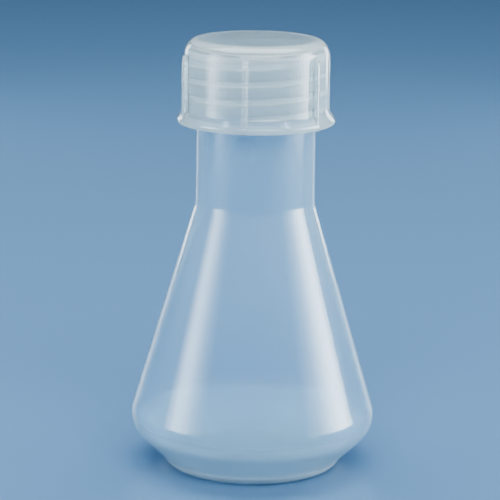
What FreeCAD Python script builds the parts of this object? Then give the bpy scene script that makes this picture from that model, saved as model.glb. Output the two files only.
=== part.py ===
"""Conical (Erlenmeyer) flask of polypropylene with a screw cap and a sealing liner.

Millimetres, +Z up. The origin is the centre of the foot ring, on the surface that the flask stands on.
The front is -Y. Three sub-parts are built: flask_body, sealing_liner and screw_cap, closed.
"""
import FreeCAD, Part
import math
import os
import Sketcher
from FreeCAD import Placement, Rotation, Vector

# Driving dimensions: alias, value, what it is. Lengths are in millimetres and angles in degrees.
SIZES = [
    # flask: the corners of its outside, before they are rounded
    ("wall", 1.2, "wall thickness of the flask"),
    ("pushup_rise", 1.9, "height of the pushed-up floor at its middle"),
    ("pushup_flat", 7.0, "radius of the flat middle of the floor"),
    ("pushup_edge", 1.4, "height of the pushed-up floor at its edge"),
    ("pushup_radius", 15.4, "radius of the pushed-up floor"),
    ("foot_inner", 17.3, "inner corner radius of the foot ring"),
    ("foot_outer", 21.35, "outer corner radius of the foot ring"),
    ("foot_waist", 22.4, "radius where the foot ring meets the underside"),
    ("foot_height", 2.4, "height where the foot ring meets the underside"),
    ("base_corner", 31.24, "radius where the underside and the cone would meet"),
    ("base_height", 10.8, "height where the underside and the cone would meet"),
    ("neck_radius", 14.7, "outer radius of the neck at its foot"),
    ("neck_top", 14.45, "outer radius of the neck at the rim"),
    ("neck_height", 66.2, "height where the cone and the neck would meet"),
    ("rim_height", 104.05, "height of the rim"),
    # flask: how those corners are rounded
    ("pushup_flat_round", 8.0, "rounding at the flat middle of the floor"),
    ("pushup_round", 2.0, "rounding at the edge of the pushed-up floor"),
    ("foot_inner_round", 1.6, "rounding inside the foot ring"),
    ("foot_outer_round", 3.4, "rounding outside the foot ring"),
    ("waist_round", 1.5, "rounding where the foot ring meets the underside"),
    ("base_round", 7.7, "rounding at the widest part of the base"),
    ("shoulder_round", 6.4, "rounding where the cone meets the neck"),
    ("rim_round", 0.35, "rounding of the rim's two edges"),
    # thread: right-hand, one start
    ("pitch", 4.2, "rise of the thread in one turn"),
    ("root_sink", 0.5, "how far a thread is sunk into its wall"),
    ("neck_crest_radius", 16.0, "radius of the neck thread's crest"),
    ("neck_root", 2.0, "width of the neck thread at its root"),
    ("neck_crest", 1.0, "width of the neck thread at its crest"),
    ("neck_thread_drop", 15.6, "rim to the bottom end of the neck thread"),
    ("neck_thread_turns", 3.375, "turns of the neck thread"),
    ("neck_thread_start", 10.0, "direction of the neck thread's bottom end"),
    ("cap_crest_radius", 15.0, "radius of the cap thread's crest"),
    ("cap_root", 2.1, "width of the cap thread at its root"),
    ("cap_crest", 0.8, "width of the cap thread at its crest"),
    ("cap_thread_turns", 3.15, "turns of the cap thread"),
    ("cap_thread_lead", 243.0, "turn from the neck thread's start to the cap thread's"),
    ("thread_bevel", 0.7, "bevel at each end of a thread"),
    # sealing liner
    ("liner_radius", 15.2, "radius of the liner"),
    ("liner_thick", 1.0, "thickness of the liner"),
    ("liner_gap", 0.05, "gap above and below the liner"),
    ("liner_round", 0.2, "rounding of the liner's edges"),
    # cap
    ("cap_radius", 17.5, "outer radius of the cap's skirt"),
    ("cap_bore", 16.3, "inner radius of the cap's skirt"),
    ("cap_bottom", 86.2, "height of the closed cap's lower edge"),
    ("cap_top_thick", 1.5, "thickness of the cap's top"),
    ("cap_round", 3.5, "rounding of the cap's shoulder"),
    ("cap_bore_round", 1.2, "rounding inside the cap's top"),
    ("lip_radius", 19.25, "radius of the flared lip"),
    ("lip_edge", 1.3, "height of the lip's upright edge"),
    ("flare", 3.3, "height of the lip and of the flare above it"),
    ("flare_round", 1.2, "rounding where the skirt starts to flare"),
    ("lip_round", 0.6, "rounding of the lip's edges"),
    ("mouth_radius", 16.9, "inner radius of the cap's mouth"),
    ("mouth_height", 1.2, "height over which the mouth narrows to the bore"),
    ("mouth_round", 0.4, "rounding of the mouth's edges"),
    # grip ribs
    ("rib_radius", 19.1, "radius at the outside of the ribs"),
    ("rib_width", 1.25, "width of a rib"),
    ("rib_drop", 3.0, "cap's top to the top of a rib, at the skirt"),
    ("rib_slope", 0.7, "fall of a rib's sloped top"),
    ("rib_count", 6, "number of ribs"),
    ("rib_turn", -8.8, "direction of the first rib, from the front"),
    ("rib_round", 0.35, "rounding of a rib's outer edges"),
]

# Heights worked out from the driving dimensions, as formulas over the sheet's aliases
NECK_THREAD_HEIGHT = "rim_height - neck_thread_drop"
CAP_THREAD_HEIGHT = NECK_THREAD_HEIGHT + " + pitch * ( cap_thread_lead / 360 - 1 / 2 )"
LINER_BOTTOM = "rim_height + liner_gap"
CAP_UNDERSIDE = LINER_BOTTOM + " + liner_thick + liner_gap"
CAP_TOP = CAP_UNDERSIDE + " + cap_top_thick"


def make_sheet(doc):
    """The spreadsheet of driving dimensions."""
    sheet = doc.addObject("Spreadsheet::Sheet", "Sizes")
    for row, (alias, value, note) in enumerate(SIZES, start=1):
        sheet.set(f"A{row}", note)
        sheet.set(f"B{row}", str(value))
        sheet.setAlias(f"B{row}", alias)
    doc.recompute()
    return sheet


def size(doc, formula):
    """The value of a formula over the sheet's aliases, such as 'rim_height - wall'."""
    result = doc.getObject("Sizes").evalExpression(formula)
    return float(getattr(result, "Value", result))


def bind(item, path, formula):
    """Binds a property to a formula over the sheet's aliases, whose words have spaces between them."""
    aliases = [alias for alias, value, note in SIZES]
    words = ["Sizes." + word if word in aliases else word for word in formula.split()]
    item.setExpression(path, " ".join(words))


def make_body(doc, label):
    body = doc.addObject("PartDesign::Body", label)
    body.Label = label
    return body


def origin_item(body, role):
    """One of the body's own origin planes or axes."""
    return next(item for item in body.Origin.OriginFeatures if item.Role == role)


def make_outline(body, name, corners, turn="0"):
    """A closed outline in an upright half-plane, turned about Z from +X by an angle.

    Each corner is a formula for its radius, one for its height and, where it is rounded, one for that.
    A radius of "0" puts the corner on the Z axis, and a height of "0" puts it on the ground.
    """
    doc = body.Document
    sketch = body.newObject("Sketcher::SketchObject", name)
    sketch.AttachmentSupport = [(origin_item(body, "XZ_Plane"), "")]
    sketch.MapMode = "FlatFace"
    sketch.AttachmentOffset = Placement(Vector(), Rotation(Vector(0, 1, 0), 1))
    bind(sketch, ".AttachmentOffset.Rotation.Angle", turn)
    points = [Vector(size(doc, corner[0]), size(doc, corner[1]), 0) for corner in corners]
    count = len(points)
    for index, point in enumerate(points):
        sketch.addGeometry(Part.LineSegment(point, points[(index + 1) % count]), False)
    for index in range(count):
        sketch.addConstraint(Sketcher.Constraint("Coincident", index, 2, (index + 1) % count, 1))
    formulas = {}
    for index, corner in enumerate(corners):
        for kind, axis, formula, value in (("DistanceX", -2, corner[0], points[index].x),
                                           ("DistanceY", -1, corner[1], points[index].y)):
            if formula == "0":
                sketch.addConstraint(Sketcher.Constraint("PointOnObject", index, 1, axis))
                continue
            row = sketch.addConstraint(Sketcher.Constraint(kind, -1, 1, index, 1, value))
            label = f"{kind}_{index}"
            sketch.renameConstraint(row, label)
            formulas[label] = formula
    for index, corner in enumerate(corners):
        if len(corner) < 3:
            continue
        radius = size(doc, corner[2])
        arc = len(sketch.Geometry)
        sketch.fillet((index - 1) % count, 2, radius, 1, True)
        row = sketch.addConstraint(Sketcher.Constraint("Radius", arc, radius))
        label = f"Radius_{index}"
        sketch.renameConstraint(row, label)
        formulas[label] = corner[2]
    for label, formula in formulas.items():
        bind(sketch, "Constraints." + label, formula)
    doc.recompute()
    return sketch


def revolve(body, name, sketch):
    """A full turn of a sketch about the body's Z axis."""
    feature = body.newObject("PartDesign::Revolution", name)
    feature.Profile = sketch
    feature.ReferenceAxis = (origin_item(body, "Z_Axis"), [""])
    feature.Angle = 360
    body.Document.recompute()
    return feature


def ring_edge(feature, radius, height):
    """Name of the feature's circular edge of this radius at this height."""
    for index, edge in enumerate(feature.Shape.Edges, start=1):
        curve = edge.Curve
        if not isinstance(curve, Part.Circle):
            continue
        if abs(curve.Radius - radius) < 0.01 and abs(curve.Center.z - height) < 0.01:
            return f"Edge{index}"
    raise ValueError(f"{feature.Name} has no edge of radius {radius} at height {height}")


def round_rings(body, name, base, rings, radius):
    """Rounds circular edges, each given by formulas for its radius and its height."""
    doc = body.Document
    edges = [ring_edge(base, size(doc, across), size(doc, up)) for across, up in rings]
    feature = body.newObject("PartDesign::Fillet", name)
    feature.Base = (base, edges)
    bind(feature, "Radius", radius)
    doc.recompute()
    return feature


def make_thread(body, name, section, turns, start):
    """A right-hand ridge of this section, swept up a helix that starts in a given direction."""
    sketch = make_outline(body, name + "_section", section, turn=start)
    feature = body.newObject("PartDesign::AdditiveHelix", name)
    feature.Profile = sketch
    feature.ReferenceAxis = (origin_item(body, "Z_Axis"), [""])
    feature.Mode = "pitch-turns-angle"
    bind(feature, "Pitch", "pitch")
    bind(feature, "Turns", turns)
    body.Document.recompute()
    return feature


def upright_edges(feature, radius):
    """Names of the feature's upright edges at this distance from the Z axis, lowest first."""
    found = []
    for index, edge in enumerate(feature.Shape.Edges, start=1):
        ends = [vertex.Point for vertex in edge.Vertexes]
        if len(ends) < 2 or math.hypot(ends[0].x - ends[1].x, ends[0].y - ends[1].y) > 0.01:
            continue
        if abs(math.hypot(ends[0].x, ends[0].y) - radius) < 0.01:
            found.append((edge.CenterOfMass.z, f"Edge{index}"))
    return [name for height, name in sorted(found)]


def round_uprights(body, name, base, radius, width, rounding):
    """Rounds the two outer upright edges of every rib of this outer radius and width."""
    doc = body.Document
    corner = math.hypot(size(doc, radius), size(doc, width) / 2)
    feature = body.newObject("PartDesign::Fillet", name)
    feature.Base = (base, upright_edges(base, corner))
    bind(feature, "Radius", rounding)
    doc.recompute()
    return feature


def bevel_ends(body, name, base, crest_radius, bevel):
    """Bevels the crest of a thread at its lowest and highest end, so that it doesn't stop dead."""
    doc = body.Document
    edges = upright_edges(base, size(doc, crest_radius))
    feature = body.newObject("PartDesign::Chamfer", name)
    feature.Base = (base, [edges[0], edges[-1]])
    bind(feature, "Size", bevel)
    doc.recompute()
    return feature


def flask_body(doc):
    """The bottle: its outside revolved and hollowed, with a thread round the neck."""
    body = make_body(doc, "flask_body")
    outline = make_outline(body, "flask_outline", [
        ("0", "pushup_rise"),
        ("pushup_flat", "pushup_rise", "pushup_flat_round"),
        ("pushup_radius", "pushup_edge", "pushup_round"),
        ("foot_inner", "0", "foot_inner_round"),
        ("foot_outer", "0", "foot_outer_round"),
        ("foot_waist", "foot_height", "waist_round"),
        ("base_corner", "base_height", "base_round"),
        ("neck_radius", "neck_height", "shoulder_round"),
        ("neck_top", "rim_height"),
        ("0", "rim_height"),
    ])
    blank = revolve(body, "flask_blank", outline)
    top_face = max(enumerate(blank.Shape.Faces, start=1), key=lambda item: item[1].CenterOfMass.z)[0]
    hollow = body.newObject("PartDesign::Thickness", "flask_hollow")
    hollow.Base = (blank, [f"Face{top_face}"])
    hollow.Reversed = True
    bind(hollow, "Value", "wall")
    doc.recompute()
    round_rings(body, "rim_edges", hollow,
                [("neck_top", "rim_height"), ("neck_top - wall", "rim_height")], "rim_round")
    middle = NECK_THREAD_HEIGHT
    thread = make_thread(body, "neck_thread", [
        ("neck_top - root_sink", middle + " - neck_root / 2"),
        ("neck_top", middle + " - neck_root / 2"),
        ("neck_crest_radius", middle + " - neck_crest / 2"),
        ("neck_crest_radius", middle + " + neck_crest / 2"),
        ("neck_top", middle + " + neck_root / 2"),
        ("neck_top - root_sink", middle + " + neck_root / 2"),
    ], "neck_thread_turns", "neck_thread_start")
    bevel_ends(body, "neck_thread_ends", thread, "neck_crest_radius", "thread_bevel")
    return body


def sealing_liner(doc):
    """The disc that the cap presses onto the rim."""
    body = make_body(doc, "sealing_liner")
    outline = make_outline(body, "liner_outline", [
        ("0", LINER_BOTTOM),
        ("liner_radius", LINER_BOTTOM, "liner_round"),
        ("liner_radius", LINER_BOTTOM + " + liner_thick", "liner_round"),
        ("0", LINER_BOTTOM + " + liner_thick"),
    ])
    revolve(body, "liner_disc", outline)
    return body


def screw_cap(doc):
    """The cap: a skirt with a flared lip under a rounded top, grip ribs outside and a thread inside."""
    body = make_body(doc, "screw_cap")
    outline = make_outline(body, "cap_outline", [
        ("0", CAP_TOP),
        ("cap_radius", CAP_TOP, "cap_round"),
        ("cap_radius", "cap_bottom"),
        ("mouth_radius", "cap_bottom", "mouth_round"),
        ("cap_bore", "cap_bottom + mouth_height", "mouth_round"),
        ("cap_bore", CAP_UNDERSIDE, "cap_bore_round"),
        ("0", CAP_UNDERSIDE),
    ])
    revolve(body, "cap_shell", outline)
    rib_section = make_outline(body, "rib_section", [
        ("cap_radius - root_sink", "cap_bottom + lip_edge / 2"),
        ("rib_radius", "cap_bottom + lip_edge / 2"),
        ("rib_radius", CAP_TOP + " - rib_drop - rib_slope"),
        ("cap_radius", CAP_TOP + " - rib_drop"),
        ("cap_radius - root_sink", CAP_TOP + " - rib_drop"),
    ], turn="rib_turn - 90")
    rib = body.newObject("PartDesign::Pad", "rib")
    rib.Profile = rib_section
    rib.SideType = "Symmetric"
    bind(rib, "Length", "rib_width")
    doc.recompute()
    ribs = body.newObject("PartDesign::PolarPattern", "ribs")
    ribs.Originals = [rib]
    ribs.Axis = (origin_item(body, "Z_Axis"), [""])
    ribs.Angle = 360
    bind(ribs, "Occurrences", "rib_count")
    body.Tip = ribs
    doc.recompute()
    round_uprights(body, "rib_edges", ribs, "rib_radius", "rib_width", "rib_round")
    lip_outline = make_outline(body, "lip_outline", [
        ("cap_radius - root_sink", "cap_bottom"),
        ("lip_radius", "cap_bottom", "lip_round"),
        ("lip_radius", "cap_bottom + lip_edge", "lip_round"),
        ("cap_radius", "cap_bottom + flare", "flare_round"),
        ("cap_radius", "cap_bottom + flare + flare_round"),
        ("cap_radius - root_sink", "cap_bottom + flare + flare_round"),
    ])
    revolve(body, "lip", lip_outline)
    middle = CAP_THREAD_HEIGHT
    thread = make_thread(body, "cap_thread", [
        ("cap_bore + root_sink", middle + " - cap_root / 2"),
        ("cap_bore", middle + " - cap_root / 2"),
        ("cap_crest_radius", middle + " - cap_crest / 2"),
        ("cap_crest_radius", middle + " + cap_crest / 2"),
        ("cap_bore", middle + " + cap_root / 2"),
        ("cap_bore + root_sink", middle + " + cap_root / 2"),
    ], "cap_thread_turns", "neck_thread_start + cap_thread_lead")
    bevel_ends(body, "cap_thread_ends", thread, "cap_crest_radius", "thread_bevel")
    return body


def check(doc, bodies):
    """Stops if any object has failed or any sub-part isn't one valid solid."""
    for item in doc.Objects:
        if "Invalid" in item.State or "Error" in item.State:
            raise RuntimeError(f"{item.Name} failed: {item.getStatusString()}")
    for body in bodies:
        shape = body.Shape
        if shape.isNull() or not shape.isValid() or len(shape.Solids) != 1:
            raise RuntimeError(f"{body.Label} isn't one valid solid")


def main():
    doc = FreeCAD.newDocument("erlenmeyer_flask")
    make_sheet(doc)
    bodies = [flask_body(doc), sealing_liner(doc), screw_cap(doc)]
    doc.recompute()
    check(doc, bodies)
    os.makedirs("parts", exist_ok=True)
    for body in bodies:
        body.Shape.exportStep(f"parts/{body.Label}.step")
        print(f"{body.Label}: {body.Shape.Volume / 1000:.2f} cubic centimetres")


main()
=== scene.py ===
"""Looks of the conical flask: translucent polypropylene bottle, screw cap and liner.

Metres, +Z up, the front is -Y. Sizes of the flask, liner and cap are in millimetres, and their outlines are
(radius, height) from the axis and the foot.
"""
import bmesh
import bpy
import math
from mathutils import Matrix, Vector


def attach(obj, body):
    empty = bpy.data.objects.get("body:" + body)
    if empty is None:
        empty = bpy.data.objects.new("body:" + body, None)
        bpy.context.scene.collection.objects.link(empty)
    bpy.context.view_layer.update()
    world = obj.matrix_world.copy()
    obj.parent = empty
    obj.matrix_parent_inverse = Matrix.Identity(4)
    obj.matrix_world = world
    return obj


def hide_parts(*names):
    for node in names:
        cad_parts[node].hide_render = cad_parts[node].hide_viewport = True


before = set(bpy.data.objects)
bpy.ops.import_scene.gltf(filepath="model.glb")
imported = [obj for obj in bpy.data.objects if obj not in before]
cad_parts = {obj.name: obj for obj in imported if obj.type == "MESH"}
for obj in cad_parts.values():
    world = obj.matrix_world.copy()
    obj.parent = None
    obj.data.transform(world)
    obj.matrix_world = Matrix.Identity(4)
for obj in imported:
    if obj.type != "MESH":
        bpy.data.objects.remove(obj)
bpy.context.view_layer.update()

MM = 0.001


def quarter_turn(steps):
    """Angles from 0 to a quarter turn, both included."""
    return [math.pi / 2 * step / steps for step in range(steps + 1)]


# ---------------------------------------------------------------- camera

AIM = Vector((0.0, 0.0, 0.0406))     # the point on the flask's axis that the camera is placed from
CAMERA_DISTANCE = 0.595
CAMERA_ELEVATION = math.radians(14.28)
CAMERA_ROLL = math.radians(0.78)
FIELD_OF_VIEW = math.radians(11.894)
AIM_BELOW = math.radians(1.272)      # how far that point is below the middle of the view
AIM_RIGHT = math.radians(0.086)      # and to the right of it


def add_camera():
    """The camera, in front of the flask and a little above it."""
    data = bpy.data.cameras.new("camera")
    data.angle = FIELD_OF_VIEW
    data.clip_start = 0.01
    data.clip_end = 20.0
    camera = bpy.data.objects.new("camera", data)
    bpy.context.scene.collection.objects.link(camera)
    back = Vector((0.0, -math.cos(CAMERA_ELEVATION), math.sin(CAMERA_ELEVATION)))
    camera.location = AIM + back * CAMERA_DISTANCE
    camera.rotation_euler = (-back).to_track_quat("-Z", "Y").to_euler()
    camera.rotation_euler.rotate_axis("Z", CAMERA_ROLL)
    camera.rotation_euler.rotate_axis("X", AIM_BELOW)
    camera.rotation_euler.rotate_axis("Y", AIM_RIGHT)
    bpy.context.scene.camera = camera


# ---------------------------------------------------------------- floor

FLOOR_HALF_WIDTH = 3.0
FLOOR_FRONT = -2.5
SWEEP_START = 1.1                    # y where the floor starts to curve up
SWEEP_RADIUS = 0.6
SWEEP_STEPS = 24
BACKDROP_TOP = 2.6
FLOOR_COLOUR = (0.078, 0.178, 0.325)
FLOOR_ROUGHNESS = 0.35
FLAGGED = "kept off the floor"       # the collection that makes a light leave the floor out


def floor_paint():
    """The plain paint of the floor and the backdrop."""
    paint = bpy.data.materials.new("floor")
    paint.use_nodes = True
    shader = paint.node_tree.nodes["Principled BSDF"]
    shader.inputs["Base Color"].default_value = (*FLOOR_COLOUR, 1)
    shader.inputs["Roughness"].default_value = FLOOR_ROUGHNESS
    return paint


def add_stage():
    """A plain pale floor that sweeps up into a backdrop."""
    line = [(FLOOR_FRONT, 0.0)]
    for angle in quarter_turn(SWEEP_STEPS):
        line.append((SWEEP_START + SWEEP_RADIUS * math.sin(angle), SWEEP_RADIUS * (1 - math.cos(angle))))
    line.append((SWEEP_START + SWEEP_RADIUS, BACKDROP_TOP))
    build = bmesh.new()
    rows = [[build.verts.new((side * FLOOR_HALF_WIDTH, y, z)) for side in (-1, 1)] for y, z in line]
    for low, high in zip(rows, rows[1:]):
        build.faces.new((low[0], low[1], high[1], high[0])).smooth = True
    mesh = bpy.data.meshes.new("floor")
    build.to_mesh(mesh)
    build.free()
    floor = bpy.data.objects.new("floor", mesh)
    bpy.context.scene.collection.objects.link(floor)
    mesh.materials.append(floor_paint())
    flagged = bpy.data.collections.new(FLAGGED)
    flagged.objects.link(floor)
    flagged.collection_objects[0].light_linking.link_state = "EXCLUDE"


# ---------------------------------------------------------------- lights

COOL_WHITE = (0.86, 0.95, 1.0)
SKY_COLOUR = (0.80, 0.90, 1.0)
SKY_STRENGTH = 0.45
GRADED_DISTANCE = 0.55               # from the flask's axis to the strips of a graded softbox
GRADED_STEP = math.radians(6.5)      # from one strip to the next, round the flask
GRADED_MIDDLE = 0.225                # height of the middle of the strips
GRADED_HEIGHT = 0.45


def add_softbox(name, place, aim, width, height, power, on_floor=True):
    """A soft light that the camera doesn't see. Without on_floor it lights all but the floor."""
    data = bpy.data.lights.new(name, "AREA")
    data.shape = "RECTANGLE"
    data.size = width
    data.size_y = height
    data.energy = power
    data.color = COOL_WHITE
    light = bpy.data.objects.new(name, data)
    bpy.context.scene.collection.objects.link(light)
    light.visible_camera = False
    if not on_floor:
        light.light_linking.receiver_collection = bpy.data.collections[FLAGGED]
    light.location = place
    light.rotation_euler = (Vector(aim) - Vector(place)).to_track_quat("-Z", "Y").to_euler()


def add_graded_softbox(name, side, outer_edge, power, shares):
    """Upright strips side by side, from an azimuth round towards the camera, with shares of the power.

    They stand on the floor and would light a bright patch of it, so they leave it out.
    """
    for place, share in enumerate(shares):
        azimuth = math.radians(outer_edge) - GRADED_STEP * (place + 0.5)
        across = side * GRADED_DISTANCE * math.sin(azimuth)
        along = -GRADED_DISTANCE * math.cos(azimuth)
        add_softbox(f"{name}_{place}", (across, along, GRADED_MIDDLE), aim=(0, 0, GRADED_MIDDLE),
                    width=GRADED_DISTANCE * GRADED_STEP, height=GRADED_HEIGHT, power=power * share,
                    on_floor=False)


def add_sky():
    """A plain bluish sky."""
    world = bpy.data.worlds.new("world")
    bpy.context.scene.world = world
    world.use_nodes = True
    sky = world.node_tree.nodes["Background"]
    sky.inputs["Color"].default_value = (*SKY_COLOUR, 1)
    sky.inputs["Strength"].default_value = SKY_STRENGTH


def add_lights():
    """A graded softbox on each side, rim lights behind, soft light from above and in front, and the sky."""
    add_graded_softbox("right_softbox", side=1, outer_edge=105, power=2.9,
                       shares=(0.6, 1.0, 1.0, 0.7, 0.4, 0.2, 0.1, 0.05))
    add_graded_softbox("left_softbox", side=-1, outer_edge=87, power=1.4,
                       shares=(0.4, 1.0, 1.0, 0.6, 0.25, 0.1))
    for side in (-1, 1):
        add_softbox(f"rim_softbox_{side}", (side * 0.30, 0.52, 0.12), aim=(0, 0, 0.06),
                    width=0.10, height=0.24, power=0.7)
    add_softbox("top_softbox", (0.0, 0.11, 0.80), aim=(0, 0, 0.05), width=0.9, height=0.5, power=14.0)
    add_softbox("front_softbox", (0.1, -0.90, 0.80), aim=(0, 0, 0.06), width=1.3, height=0.5, power=23.0)
    add_sky()


# ---------------------------------------------------------------- outlines and meshes

MILK = "milk"                # mesh attribute: 0 where the plastic is clear, 1 where it is thick and milky; at the flask's base and the cap's skirt and shoulder it also carries painted light
CHORD = 0.35                 # longest step along a rounding
LARGEST_TURN = 0.16          # and the most that it turns, in radians
PLAIN_ROW = 2.5              # greatest height of a row of faces where the wall is plain
ON_AXIS = 1e-6               # a point with a smaller radius is on the axis


def smooth(value):
    """0 below 0, 1 above 1, and an S-curve between."""
    value = min(max(value, 0.0), 1.0)
    return value * value * (3 - 2 * value)


def ramp(value, start, end):
    """0 before start, 1 past end, and an S-curve between. The end may be the lower of the two."""
    return smooth((value - start) / (end - start))


def rounded(corners, chord=CHORD):
    """A polyline through corners (radius, height, rounding), each rounding a tangent arc.

    Known fault: at a right angle that turns left, start.cross(after) is 0 and the arc bends the wrong way.
    The cap's underside therefore slopes down from the axis to its edge, through the liner and the neck, and
    the liner's edges are notched. The test that gets these corners right is after.cross(before) > 0.
    """
    line = []
    for index, (r, z, rounding) in enumerate(corners):
        here = Vector((r, z))
        if rounding == 0:
            line.append(here)
            continue
        before = (Vector(corners[index - 1][:2]) - here).normalized()
        after = (Vector(corners[index + 1][:2]) - here).normalized()
        opening = before.angle(after)
        centre = here + (before + after).normalized() * (rounding / math.sin(opening / 2))
        start = here + before * (rounding / math.tan(opening / 2)) - centre
        sweep = math.pi - opening
        side = 1 if start.cross(after) > 0 else -1
        steps = max(3, math.ceil(sweep * rounding / chord), math.ceil(sweep / LARGEST_TURN))
        for step in range(steps + 1):
            angle = side * sweep * step / steps
            line.append(centre + Vector((start.x * math.cos(angle) - start.y * math.sin(angle),
                                         start.x * math.sin(angle) + start.y * math.cos(angle))))
    return line


def refined(line, longest):
    """The polyline with more points wherever a span is over longest(its middle)."""
    out = [line[0]]
    for start, end in zip(line, line[1:]):
        parts = max(1, math.ceil((end - start).length / longest((start + end) / 2)))
        out += [start.lerp(end, part / parts) for part in range(1, parts + 1)]
    return out


def offset(line, distance):
    """The polyline moved sideways by a distance, to its left."""
    out = []
    for index, here in enumerate(line):
        before = line[max(index - 1, 0)]
        after = line[min(index + 1, len(line) - 1)]
        along = (after - before).normalized()
        out.append(here + Vector((-along.y, along.x)) * distance)
    return out


def around(count):
    """Directions of columns of faces, evenly spaced."""
    return [2 * math.pi * column / count for column in range(count)]


def lathe(name, line, angles, shape, body, node, material):
    """A closed skin: the line turned about Z.

    shape(r, z, angle, place) gives a point's (r, z, milkiness), where place is its index in the line.
    """
    build = bmesh.new()
    milk = build.verts.layers.float.new(MILK)
    rings = []
    for place, point in enumerate(line):
        ring = []
        for angle in angles if point.x > ON_AXIS else [0.0]:
            r, z, share = shape(point.x, point.y, angle, place)
            ring.append(build.verts.new((r * math.cos(angle) * MM, r * math.sin(angle) * MM, z * MM)))
            ring[-1][milk] = share
        rings.append(ring)
    for low, high in zip(rings, rings[1:]):
        for step in range(len(angles)):
            after = (step + 1) % len(angles)
            corners = dict.fromkeys((low[step % len(low)], low[after % len(low)],
                                     high[after % len(high)], high[step % len(high)]))
            build.faces.new(corners).smooth = True
    bmesh.ops.recalc_face_normals(build, faces=build.faces)
    mesh = bpy.data.meshes.new(name)
    build.to_mesh(mesh)
    build.free()
    piece = bpy.data.objects.new(name, mesh)
    bpy.context.scene.collection.objects.link(piece)
    mesh.materials.append(material)
    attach(piece, body)
    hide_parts(node)


# ---------------------------------------------------------------- materials

POLYPROPYLENE_IOR = 1.49
HAZE_DEPTH = 0.002           # how far light scatters in the hazy plastic, in metres
PATCH_SCALE = 45.0           # patches where the plastic is more or less milky
PATCH_DETAIL = 2.0
PATCH_LEAST = 0.8            # the milkiness is multiplied by this between patches
PATCH_MOST = 1.2             # and by this in the middle of one
PEEL_SCALE = 420.0           # orange peel, the faint unevenness of a moulded surface
PEEL_DETAIL = 1.0
PEEL_HEIGHT = 0.0002
THICK_LOOK = 0.25            # milkiness from which the colour and the finish are those of thick plastic


def add_node(tree, kind, **settings):
    """A node with some of its properties and some of its inputs set."""
    node = tree.nodes.new(kind)
    for name, value in settings.items():
        if hasattr(node, name):
            setattr(node, name, value)
        else:
            node.inputs[name.replace("_", " ")].default_value = value
    return node


def cloud(tree, place, scale, detail):
    """Soft noise with a grain of 1 / scale metres."""
    noise = add_node(tree, "ShaderNodeTexNoise", Scale=scale, Detail=detail, Roughness=0.5)
    tree.links.new(place, noise.inputs["Vector"])
    return noise.outputs["Fac"]


def between(tree, fac, low, high):
    """low where fac is 0, high where it is 1."""
    node = add_node(tree, "ShaderNodeMapRange")
    node.inputs["To Min"].default_value = low
    node.inputs["To Max"].default_value = high
    tree.links.new(fac, node.inputs["Value"])
    return node.outputs["Result"]


def plastic(name, thin, thick, clear, milky, gloss, satin, haze, orange_peel):
    """Moulded polypropylene.

    thin, clear and gloss are its colour, clearness and roughness where it is thin, and thick, milky and
    satin where it is thick. haze is the share of scattered light, and orange_peel the bumps' strength.
    """
    mat = bpy.data.materials.new(name)
    mat.use_nodes = True
    tree = mat.node_tree
    shader = tree.nodes["Principled BSDF"]
    shader.inputs["IOR"].default_value = POLYPROPYLENE_IOR
    shader.inputs["Subsurface Weight"].default_value = haze
    shader.inputs["Subsurface Radius"].default_value = (1.0, 1.0, 1.0)
    shader.inputs["Subsurface Scale"].default_value = HAZE_DEPTH
    place = add_node(tree, "ShaderNodeTexCoord").outputs["Object"]
    milk = add_node(tree, "ShaderNodeAttribute", attribute_name=MILK).outputs["Fac"]
    patches = cloud(tree, place, PATCH_SCALE, PATCH_DETAIL)

    mixed = add_node(tree, "ShaderNodeMath", operation="MULTIPLY", use_clamp=True)
    tree.links.new(between(tree, patches, PATCH_LEAST, PATCH_MOST), mixed.inputs[0])
    tree.links.new(milk, mixed.inputs[1])
    clearness = between(tree, mixed.outputs["Value"], clear, milky)
    tree.links.new(clearness, shader.inputs["Transmission Weight"])

    colour = add_node(tree, "ShaderNodeMix", data_type="RGBA")
    tree.links.new(between(tree, mixed.outputs["Value"], 0.0, 1 / THICK_LOOK), colour.inputs["Factor"])
    colour.inputs["A"].default_value = (*thin, 1)
    colour.inputs["B"].default_value = (*thick, 1)
    tree.links.new(colour.outputs["Result"], shader.inputs["Base Color"])

    satin_share = between(tree, milk, 0.0, 1 / THICK_LOOK)
    tree.links.new(between(tree, satin_share, gloss, satin), shader.inputs["Roughness"])
    bump = add_node(tree, "ShaderNodeBump", Strength=orange_peel, Distance=PEEL_HEIGHT)
    tree.links.new(cloud(tree, place, PEEL_SCALE, PEEL_DETAIL), bump.inputs["Height"])
    tree.links.new(bump.outputs["Normal"], shader.inputs["Normal"])
    return mat


# ---------------------------------------------------------------- threads

PITCH = 4.2                  # rise of a thread in one turn
THREAD_ROOT = 2.1            # width of a thread at its root
THREAD_FADE = 0.06           # turns over which each end of a thread fades away
THREAD_ROW = 0.14            # greatest height of a row of faces where there is a thread
CREST_MILK = 0.5             # milkiness that a thread adds at its crest


def thread(z, angle, start_angle, start_z, turns, crest):
    """Share of its depth that a right-hand thread has here; it fades away at both ends."""
    first = (math.degrees(angle) - start_angle) % 360 / 360
    nearest = round((z - start_z) / PITCH - first)
    along = first + nearest
    if along < 0 or along > turns:
        return 0.0
    away = abs(z - start_z - PITCH * along)
    flank = smooth((THREAD_ROOT / 2 - away) / ((THREAD_ROOT - crest) / 2))
    return flank * smooth(along / THREAD_FADE) * smooth((turns - along) / THREAD_FADE)


# ---------------------------------------------------------------- flask

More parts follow.
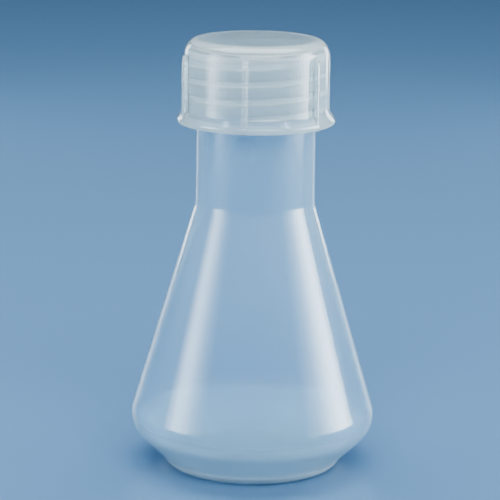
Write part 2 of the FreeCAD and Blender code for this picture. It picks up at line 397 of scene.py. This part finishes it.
WALL = 1.2
RIM = 104.05                 # height of the rim
RIM_ROUND = 0.35             # height of the rim's rounding
RIM_STEPS = 10
NECK = 14.7                  # outer radius of the neck at its foot
NECK_FOOT = 66.2             # height where the cone and the neck would meet
NECK_TOP = 14.45             # outer radius of the neck at the rim
NECK_THREAD_START = 10       # direction of the neck thread's lower end, in degrees
NECK_THREAD_HEIGHT = RIM - 15.6      # height of its lower end
NECK_THREAD_TURNS = 3.375
NECK_THREAD_CREST = 0.9      # width of the neck thread's crest
NECK_CREST_RADIUS = 16.0
THREAD_ZONE = 86.8           # height above which the neck's outside has the thread and its fine rows
FLASK_COLUMNS = 240


def neck_radius(z):
    """Outer radius of the slightly tapered neck at a height."""
    return NECK + (NECK_TOP - NECK) * (z - NECK_FOOT) / (RIM - NECK_FOOT)


def flask_outside():
    """Two polylines: the outside from the middle of its floor up to the rim, and the rim's rounding."""
    outside = rounded([
        (0, 1.9, 0),                    # middle of the pushed-up floor
        (7.0, 1.9, 8.0),                # edge of its flat middle
        (15.4, 1.4, 2.0),               # edge of the pushed-up floor
        (17.3, 0, 1.6),                 # inner edge of the foot ring
        (21.35, 0, 3.4),                # outer edge of the foot ring
        (22.4, 2.4, 1.5),               # where the foot ring meets the underside
        (31.24, 10.8, 7.7),             # where the underside meets the cone, at the widest
        (NECK, NECK_FOOT, 6.4),         # where the cone meets the neck
        (neck_radius(THREAD_ZONE), THREAD_ZONE, 0),
        (NECK_TOP, RIM - RIM_ROUND, 0),
    ])
    half_wall = WALL / 2
    rim = []
    for step in range(1, RIM_STEPS):
        angle = math.pi * step / RIM_STEPS
        rim.append(Vector((NECK_TOP - half_wall + half_wall * math.cos(angle),
                           RIM - RIM_ROUND + RIM_ROUND * math.sin(angle))))
    return outside, rim


def flask_row(middle):
    """Greatest height of a row of the flask's faces: fine rows only outside the neck, at the thread."""
    return THREAD_ROW if middle.y > THREAD_ZONE and middle.x > NECK_TOP - WALL / 2 else PLAIN_ROW


def inner_milk(z):
    """Milkiness of the flask's inside: least low in the cone, more towards the neck, most at the base,
    where the extra milk is a painted highlight that whitens the base and foot.
    """
    up_the_cone = 0.11 * ramp(z, 15, 71)
    under_the_cap = 0.04 * ramp(z, 84, 87)
    # painted highlight: the base and foot are made milkier, so whiter and brighter
    painted_foot_highlight = 0.30 * ramp(z, 15, 8)
    return 0.04 + up_the_cone - under_the_cap + painted_foot_highlight


def outer_milk(z):
    """Milkiness of the flask's outside: only at the foot."""
    return 0.14 * ramp(z, 6, 1)


def flask():
    """The flask, a shell of even thickness with the thread on its neck."""
    outside, rim = flask_outside()
    inside = list(reversed(offset(outside, WALL)))
    inside[-1].x = 0                    # exactly on the axis
    outer_rows = len(refined(outside, flask_row))

    def shape(r, z, angle, place):
        if place >= outer_rows:
            return r, z, inner_milk(z)
        if z <= THREAD_ZONE:
            return r, z, outer_milk(z)
        ridge = thread(z, angle, NECK_THREAD_START, NECK_THREAD_HEIGHT, NECK_THREAD_TURNS,
                       NECK_THREAD_CREST)
        return r + ridge * (NECK_CREST_RADIUS - r), z, CREST_MILK * ridge ** 2

    material = plastic("flask_plastic", thin=(0.53, 0.785, 0.97), thick=(0.84, 0.94, 1.0), clear=0.93,
                       milky=0.10, gloss=0.12, satin=0.25, haze=0.25, orange_peel=0.02)
    lathe("flask_shell", refined(outside + rim + inside, flask_row), around(FLASK_COLUMNS), shape,
          "flask", "flask_body", material)


# ---------------------------------------------------------------- liner

LINER_GAP = 0.05             # above and below the liner
LINER_RADIUS = 15.2
LINER_BOTTOM = RIM + LINER_GAP
LINER_TOP = LINER_BOTTOM + 1.0
LINER_ROUND = 0.2
LINER_MILK = 0.15
LINER_COLUMNS = 120


def liner():
    """The sealing liner, a flat disc. Its edges are notched where they should be rounded: see rounded()."""
    line = rounded([(0, LINER_BOTTOM, 0), (LINER_RADIUS, LINER_BOTTOM, LINER_ROUND),
                    (LINER_RADIUS, LINER_TOP, LINER_ROUND), (0, LINER_TOP, 0)])

    def shape(r, z, angle, place):
        return r, z, LINER_MILK

    material = plastic("liner_plastic", thin=(0.66, 0.82, 0.90), thick=(0.76, 0.88, 0.93), clear=0.9,
                       milky=0.1, gloss=0.2, satin=0.5, haze=0.5, orange_peel=0.1)
    lathe("liner_disc", refined(line, lambda middle: PLAIN_ROW), around(LINER_COLUMNS), shape,
          "liner", "sealing_liner", material)


# ---------------------------------------------------------------- cap

CAP_UNDERSIDE = LINER_TOP + LINER_GAP
CAP_TOP = CAP_UNDERSIDE + 1.5
CAP_BOTTOM = 86.2
CAP_WALL = 17.5              # outer radius of the skirt
CAP_BORE = 16.3              # inner radius of the skirt
CAP_BORE_ROUND = 1.2         # rounding inside the top, which bends the wrong way: see rounded()
CAP_CHORD = 0.3              # longest step along the cap's roundings
MOUTH_RADIUS = 16.9
MOUTH_HEIGHT = 1.2           # over which the mouth narrows to the bore
MOUTH_ROUND = 0.4
LIP_RADIUS = 19.25
LIP_EDGE = 1.3               # height of the lip's upright edge
LIP_ROUND = 0.6
FLARE_TOP = CAP_BOTTOM + 3.3
CAP_THREAD_LEAD = 243        # turn from the neck thread's start to the cap thread's, in degrees
CAP_THREAD_START = NECK_THREAD_START + CAP_THREAD_LEAD
CAP_THREAD_HEIGHT = NECK_THREAD_HEIGHT + PITCH * (CAP_THREAD_LEAD / 360 - 0.5)
CAP_THREAD_TURNS = 3.15
CAP_THREAD_CREST = 0.8       # width of the cap thread's crest
CAP_THREAD_DEPTH = 1.3
RIB_COUNT = 6
RIB_TURN = math.radians(-98.8)       # direction of the first rib
RIB_RADIUS = 19.1
RIB_HEIGHT = RIB_RADIUS - CAP_WALL
RIB_WIDTH = 1.25
RIB_EDGE = 0.35              # rounding of a rib's outer edges
RIB_EDGE_STEPS = 4
RIB_FOOT = 0.25              # rounding where a rib meets the skirt
RIB_FOOT_STEPS = 3
RIB_DRAFT = 0.02             # how far out each of a rib's sides leans
RIB_TOP = CAP_TOP - 3.0
RIB_SLOPE = 0.7              # height over which a rib's top runs out
RIB_MILK = 0.12              # milkiness of a rib's crest
GAP_STEPS = 18               # spaces between the columns from one rib to the next
TOP_PLAIN = 14               # radius of the top's plain middle
RIB_END_ROW = 0.2            # greatest height of a row of faces at the ribs' ends
SKIRT_ROW = 1.5              # and on the rest of the skirt's outside


def rib_section():
    """Half of a rib's outline from crest to foot: (distance from its middle plane, share of its height)."""
    half = RIB_WIDTH / 2
    points = [(0.0, 1.0), (half - RIB_EDGE, 1.0)]
    for angle in quarter_turn(RIB_EDGE_STEPS)[1:]:
        points.append((half - RIB_EDGE + RIB_EDGE * math.sin(angle),
                       1 - (RIB_EDGE - RIB_EDGE * math.cos(angle)) / RIB_HEIGHT))
    for angle in quarter_turn(RIB_FOOT_STEPS):
        points.append((half + RIB_FOOT - RIB_FOOT * math.cos(angle) + RIB_DRAFT,
                       (RIB_FOOT - RIB_FOOT * math.sin(angle)) / RIB_HEIGHT))
    return points


def cap_columns():
    """Directions of the cap's columns, each with its share of a rib's height: close ones at the ribs."""
    section = rib_section()
    across = [(-away, share) for away, share in reversed(section[1:])] + section
    spacing = 2 * math.pi / RIB_COUNT
    gap_start = across[-1][0] / CAP_WALL
    gap_end = spacing - gap_start
    columns = []
    for rib in range(RIB_COUNT):
        middle = RIB_TURN + spacing * rib
        columns += [(middle + away / CAP_WALL, share) for away, share in across]
        columns += [(middle + gap_start + (gap_end - gap_start) * step / GAP_STEPS, 0.0)
                    for step in range(1, GAP_STEPS)]
    return columns


def cap_row(middle):
    """Greatest height of a row of the cap's faces: fine rows at the thread and at the ribs' ends."""
    if middle.x < TOP_PLAIN:
        return PLAIN_ROW
    if middle.x < CAP_BORE + 0.3:
        return THREAD_ROW
    if middle.y > RIB_TOP - 1.4 or middle.y < FLARE_TOP + 1.5:
        return RIB_END_ROW
    return SKIRT_ROW


def cap_outside(r, z, rib_share):
    """The cap's outside with its ribs: clear, a little milky on the ribs, and milkier at the shoulder,
    partly as thick plastic and partly as a painted highlight.
    """
    rib = CAP_WALL + RIB_HEIGHT * rib_share * smooth((RIB_TOP - z) / RIB_SLOPE)
    if z < RIB_TOP and rib > r:
        return rib, z, RIB_MILK * (rib - r) / (RIB_RADIUS - r)
    # partly thick plastic, partly a painted highlight: the shoulder's outside is made milkier, so whiter
    return r, z, 0.14 * ramp(z, 102, 103.5) * ramp(r, 13, 15)


def cap_inside(r, z, angle):
    """The cap's inside with its thread: least milky under the top, most at the shoulder and the thread. The
    skirt's extra milk is painted light that makes the skirt whiter than the top; the shoulder's is partly
    thick plastic and partly a painted highlight.
    """
    # painted light: the skirt is made milkier, so whiter, than the top
    painted_skirt_light = 0.28 * ramp(r, 13.5, 15)
    # partly thick plastic, partly a painted highlight: the shoulder is made milkier, so whiter
    thick_shoulder_and_painted_highlight = 0.3 * ramp(z, 101, 103) * ramp(r, 14, 15.5)
    milk = 0.12 + painted_skirt_light + thick_shoulder_and_painted_highlight
    if z < CAP_UNDERSIDE - CAP_BORE_ROUND and r < CAP_BORE + 0.01:
        ridge = thread(z, angle, CAP_THREAD_START, CAP_THREAD_HEIGHT, CAP_THREAD_TURNS,
                       CAP_THREAD_CREST)
        return r - CAP_THREAD_DEPTH * ridge, z, milk + CREST_MILK * ridge ** 2
    return r, z, milk


def cap():
    """The screw cap, with ribs and a flared lip outside and the thread inside."""
    line = refined(rounded([
        (0, CAP_TOP, 0),
        (CAP_WALL, CAP_TOP, 3.5),                               # shoulder
        (CAP_WALL, FLARE_TOP, 1.2),                             # where the skirt starts to flare
        (LIP_RADIUS, CAP_BOTTOM + LIP_EDGE, LIP_ROUND),
        (LIP_RADIUS, CAP_BOTTOM, LIP_ROUND),
        (MOUTH_RADIUS, CAP_BOTTOM, MOUTH_ROUND),
        (CAP_BORE, CAP_BOTTOM + MOUTH_HEIGHT, MOUTH_ROUND),
        (CAP_BORE, CAP_UNDERSIDE, CAP_BORE_ROUND),
        (0, CAP_UNDERSIDE, 0),
    ], CAP_CHORD), cap_row)
    innermost_lowest = min(range(len(line)), key=lambda place: (line[place].y, line[place].x))
    columns = cap_columns()
    rib_shares = dict(columns)

    def shape(r, z, angle, place):
        if place < innermost_lowest:
            return cap_outside(r, z, rib_shares.get(angle, 0.0))
        return cap_inside(r, z, angle)

    material = plastic("cap_plastic", thin=(0.76, 0.905, 0.96), thick=(0.885, 0.965, 0.99), clear=0.95,
                       milky=0.10, gloss=0.10, satin=0.22, haze=0.25, orange_peel=0.02)
    lathe("cap_shell", line, [angle for angle, share in columns], shape,
          "cap", "screw_cap", material)


add_camera()
add_stage()
add_lights()
flask()
cap()
liner()
